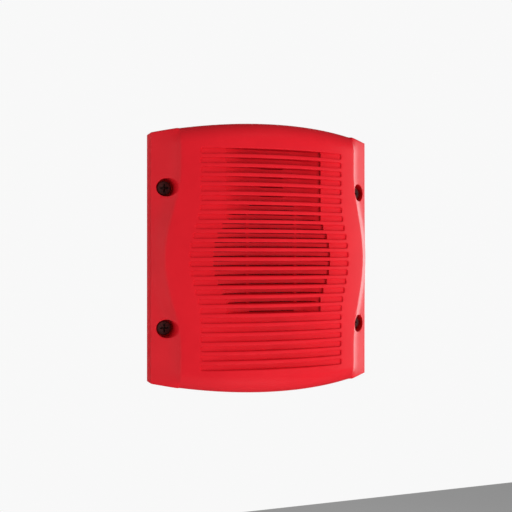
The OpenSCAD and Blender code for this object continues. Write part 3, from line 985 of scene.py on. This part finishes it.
def layered(name, colour, roughness, axis, pitch):
    """Stack of stamped steel sheets, one for every pitch along the axis."""
    material, shader = new_material(name, colour, roughness, 0.9)
    sheets = add_bands(material, axis, pitch)
    add_bump(material, shader, sheets, 0.6, 0.2 * pitch)
    tint(material, shader, sheets, shade(colour, 0.35), colour)
    vary_roughness(material, shader, 0.8 * roughness, 1.2 * roughness, 300)
    return material


def add_tracks(material, mask, copper):
    """Solder mask, lighter along the copper tracks under it."""
    tracks = add_node(material, "ShaderNodeTexBrick", **{
        "Color1": (*mask, 1), "Color2": (*shade(mask, 1.2), 1), "Mortar": (*copper, 1), "Scale": 160.0,
        "Mortar Size": 0.045, "Mortar Smooth": 0.1, "Brick Width": 2.4, "Row Height": 0.27,
    })
    tracks.offset = 0.37
    tracks.squash = 1.6
    tracks.squash_frequency = 3
    link(material, place(material, FACE_ON), tracks.inputs["Vector"])
    return tracks


def add_pads(material):
    """Mask of small round pads, on about a third of the places of a slightly uneven grid."""
    grid = cells(material, 0.004, "2D", FACE_ON, Randomness=0.15)
    small = combine(material, "LESS_THAN", grid.outputs["Distance"], 0.16)
    few = combine(material, "LESS_THAN", cell_tone(material, grid), 0.3)
    return combine(material, "MULTIPLY", small, few)


def circuit_board():
    """Green solder mask over copper tracks, with bare tinned pads."""
    mask, copper, tin = (0.010, 0.10, 0.038), (0.022, 0.19, 0.065), (0.62, 0.62, 0.58)
    material, shader = new_material("board_green_look", mask, 0.3)
    tracks, pads = add_tracks(material, mask, copper), add_pads(material)
    mix = material.node_tree.nodes.new("ShaderNodeMix")
    mix.data_type = "RGBA"
    base, over, result = mix.inputs[6], mix.inputs[7], mix.outputs[2]
    over.default_value = (*tin, 1)
    link(material, pads, mix.inputs["Factor"])
    link(material, tracks.outputs["Color"], base)
    link(material, result, shader.inputs["Base Color"])
    relief = combine(material, "MAXIMUM", tracks.outputs["Fac"], pads)
    add_bump(material, shader, relief, 0.5, 0.00005, invert=True)
    vary_roughness(material, shader, 0.25, 0.4, 300)
    return material


# Base colour, roughness and metallic of each plain material
SLOT_LOOKS = {
    "black_screw": ((0.085, 0.038, 0.036), 0.5, 0.2),
    "steel_hardware": ((0.62, 0.62, 0.60), 0.28, 0.8),
    "nylon": ((0.72, 0.70, 0.62), 0.5, 0.0),
    "basket_metal": ((0.03, 0.03, 0.033), 0.45, 0.0),
    "cone_paper": ((0.03, 0.03, 0.028), 0.9, 0.0),
    "former_paper": ((0.45, 0.28, 0.12), 0.8, 0.0),
    "copper_wire": ((0.72, 0.28, 0.10), 0.3, 1.0),
    "ferrite": ((0.045, 0.045, 0.05), 0.55, 0.0),
    "black_plastic": ((0.022, 0.022, 0.025), 0.5, 0.0),
    "bobbin_plastic": ((0.62, 0.58, 0.45), 0.5, 0.0),
    "capacitor_sleeve": ((0.012, 0.03, 0.16), 0.3, 0.0),
    "terminal_plastic": ((0.012, 0.11, 0.04), 0.45, 0.0),
    "clamp_brass": ((0.62, 0.44, 0.16), 0.3, 1.0),
    "selector_blue": ((0.02, 0.07, 0.36), 0.35, 0.0),
    "white_plastic": ((0.78, 0.78, 0.75), 0.45, 0.0),
    "lead_sleeve": ((0.42, 0.012, 0.012), 0.4, 0.0),
}
materials = {name: plain(name + "_look", *look) for name, look in SLOT_LOOKS.items()}
materials["red_cover"] = red_plastic()
materials["zinc_plate"] = spangled("zinc_plate_look", (0.60, 0.61, 0.62), 0.36, 0.006)
materials["dust_screen"] = woven("dust_screen_look", (0.014, 0.014, 0.014), 0.9, 0.0005)
materials["foam"] = porous("foam_look", (0.022, 0.022, 0.024), 0.95, 0.0006)
materials["surround_cloth"] = woven("surround_cloth_look", (0.02, 0.02, 0.02), 0.8, 0.0006)
materials["spider_cloth"] = woven("spider_cloth_look", (0.46, 0.28, 0.10), 0.85, 0.0007)
materials["lamination"] = layered("lamination_look", (0.20, 0.20, 0.21), 0.42, "Z", 0.0005)
materials["board_green"] = circuit_board()

slot_of = {entry["node"]: entry["material_slot"] for entry in frame["record"]["subparts"]}
body_holding = {
    node: body for body, nodes in frame["record"]["behaviour"]["bodies"].items() for node in nodes
}


# Pieces


def stand_in(name, mesh, node):
    """Adds a piece that stands for a CAD node, in that node's material, and moves with the same body."""
    piece = add_object(name, mesh)
    piece.data.materials.append(materials[slot_of[node]])
    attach(piece, body_holding[node])
    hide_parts(node)


def add_flexing(name, profile, node):
    """Adds a ring in sectors, each reaching from the cone to the frame in the node's material, and hides the
    CAD node it stands for.
    """
    arc = 2 * math.pi / SECTORS
    for index in range(SECTORS):
        mesh = revolve(f"{name}_{index + 1}", profile, start=index * arc, turn=arc, steps=8)
        piece = add_object(mesh.name, mesh)
        piece.data.materials.append(materials[slot_of[node]])
        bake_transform(piece)
        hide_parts(node)


def add_bosses():
    """Adds the cover's bosses for the speaker's ears and the chassis, one of each in every corner."""
    for across, side in ((-1, "left"), (1, "right")):
        for up, level in ((-1, "low"), (1, "high")):
            for kind, at, foot_h in (("ear", EAR_AT, EAR_BOSS_H), ("post", POST_AT, POST_BOSS_H)):
                centre = (across * at[0], up * at[1])
                mesh = revolve(f"{kind}_boss", boss_section(foot_h), centre, steps=32)
                stand_in(f"{kind}_boss_{side}_{level}", mesh, "front_cover")


def add_speaker():
    """Adds the gasket's seat and the speaker's soft pieces."""
    stand_in("gasket_seat", revolve("gasket_seat", ring_section(GASKET_H[1], SKIN_H + 0.7)), "front_cover")
    stand_in("foam_ring", revolve("foam_ring", ring_section(*GASKET_H)), "speaker_gasket")
    stand_in("screen_cloth", revolve("screen_cloth", screen_section()), "acoustic_screen")
    stand_in("paper_cone", revolve("paper_cone", cone_section()), "speaker_cone")
    stand_in("cap_dome", revolve("cap_dome", cap_section()), "dust_cap")
    add_flexing("surround", surround_section(), "speaker_surround")
    add_flexing("spider", spider_section(), "speaker_spider")


def add_capacitors():
    for number, angle in ((1, CAN_ANGLE), (2, -CAN_ANGLE)):
        centre = (CAN_AT * math.cos(angle), CAN_AT * math.sin(angle))
        mesh = revolve("capacitor", capacitor_section(), centre, steps=48)
        stand_in(f"capacitor_{number}", mesh, "capacitors")


def add_screws():
    for number, (across, up) in enumerate(((-1, 1), (1, 1), (-1, -1), (1, -1)), start=1):
        mesh = screw_mesh((across * POCKET_X, up * POCKET_Z))
        stand_in(f"captive_screw_{number}", mesh, f"cover_screw_{number}")


def dress_node(name):
    """Gives a CAD node its material, and rounds its edges a little."""
    piece = frame["nodes"][name]
    piece.data.materials.clear()
    piece.data.materials.append(materials[slot_of[name]])
    bevel = piece.modifiers.new("edges", "BEVEL")
    bevel.width = 0.12 * MM
    bevel.segments = 2
    bevel.limit_method = "ANGLE"
    bevel.angle_limit = math.radians(40)


stand_in("cover_shell", build_cover(), "front_cover")
add_bosses()
add_speaker()
stand_in("transformer_turns", winding_mesh(), "transformer_winding")
add_capacitors()
add_screws()
for node_name, node_piece in frame["nodes"].items():
    if not node_piece.hide_render:
        dress_node(node_name)


# Stage, lights and camera

CAMERA_TURN = math.radians(20)
CAMERA_DISTANCE = 0.480
LENS_PER_WIDTH = 1.619
CAMERA_SHIFT = (-0.0019, 0.0040)
BACKGROUND_LEVEL = 0.94
AMBIENT_LEVEL = 0.27
REFLECTED_LEVEL = 0.05


def look_at(piece, target):
    piece.rotation_euler = (Vector(target) - piece.location).to_track_quat("-Z", "Y").to_euler()


def add_softbox(name, direction, distance, width, height, radiance, rays="diffuse"):
    """Area light that faces the object, with a card's size and radiance, seen by one kind of ray."""
    data = bpy.data.lights.new(name, "AREA")
    data.shape = "RECTANGLE"
    data.size = width
    data.size_y = height
    data.energy = radiance * math.pi * width * height
    lamp = bpy.data.objects.new(name, data)
    lamp.location = Vector(direction).normalized() * distance
    look_at(lamp, (0, 0, 0))
    lamp.visible_camera = False
    lamp.visible_glossy = rays == "glossy"
    lamp.visible_diffuse = rays == "diffuse"
    bpy.context.scene.collection.objects.link(lamp)


def add_floor():
    """Plain pale floor well below the object."""
    mesh = bpy.data.meshes.new("floor")
    half, drop = 1.4, -0.6
    corners = [(-half, -half, drop), (half, -half, drop), (half, half, drop), (-half, half, drop)]
    mesh.from_pydata(corners, [], [(0, 1, 2, 3)])
    floor = add_object("floor", mesh)
    material, _ = new_material("pale_floor", (0.93, 0.93, 0.93), 0.9)
    mesh.materials.append(material)
    floor.visible_glossy = False


def set_world():
    """Near-white to the camera, and dimmer as a light, most of all in reflections."""
    world = bpy.data.worlds.new("studio")
    world.use_nodes = True
    tree = world.node_tree
    background = tree.nodes["Background"]
    path = tree.nodes.new("ShaderNodeLightPath")
    level = BACKGROUND_LEVEL
    for ray, dimmer in (("Is Glossy Ray", REFLECTED_LEVEL), ("Is Diffuse Ray", AMBIENT_LEVEL)):
        mix = tree.nodes.new("ShaderNodeMix")
        if isinstance(level, float):
            mix.inputs["A"].default_value = level
        else:
            tree.links.new(level, mix.inputs["A"])
        mix.inputs["B"].default_value = dimmer
        tree.links.new(path.outputs[ray], mix.inputs["Factor"])
        level = mix.outputs["Result"]
    tree.links.new(level, background.inputs["Strength"])
    background.inputs["Color"].default_value = (1, 1, 1, 1)
    bpy.context.scene.world = world


def set_camera():
    """Level camera, a little to the left of the object."""
    data = bpy.data.cameras.new("camera")
    data.sensor_width = 36
    data.lens = data.sensor_width * LENS_PER_WIDTH
    camera = bpy.data.objects.new("camera", data)
    left, away = math.sin(CAMERA_TURN), math.cos(CAMERA_TURN)
    camera.location = (-CAMERA_DISTANCE * left, -CAMERA_DISTANCE * away, 0)
    camera.rotation_euler = (math.radians(90), 0, -CAMERA_TURN)
    data.shift_x, data.shift_y = CAMERA_SHIFT
    bpy.context.scene.collection.objects.link(camera)
    bpy.context.scene.camera = camera


bpy.context.scene.view_settings.view_transform = "Standard"
add_floor()
set_world()
add_softbox("key", (0.53, -0.85, -0.07), 1.0, 0.65, 0.30, 10.2)
add_softbox("low_fill", (0.12, -0.76, -0.64), 0.46, 0.3, 0.3, 1.15)
add_softbox("high_fill", (0.25, -0.80, 0.62), 1.2, 0.8, 0.4, 1.33)
add_softbox("left_fill", (-0.95, -0.30, 0.0), 1.2, 0.8, 0.8, 1.42)
add_softbox("left_back", (-0.96, 0.26, 0.0), 1.2, 0.8, 0.8, 1.68)
add_softbox("right_fill", (0.98, 0.17, 0.0), 1.2, 0.8, 0.8, 0.8)
add_softbox("right_card", (1.0, 0.10, 0.0), 0.9, 1.2, 0.6, 1.05, rays="glossy")
add_softbox("back_card", (0.70, 0.72, 0.0), 1.2, 1.0, 0.8, 1.5, rays="glossy")
add_softbox("top_card", (0.0, 0.87, 0.50), 1.2, 1.4, 0.5, 1.2, rays="glossy")
add_softbox("rear_card", (0.10, 0.99, 0.08), 1.2, 0.7, 0.8, 1.2, rays="glossy")
add_softbox("rear_fill", (0.05, 1.0, 0.05), 1.2, 0.9, 0.9, 1.4)
set_camera()
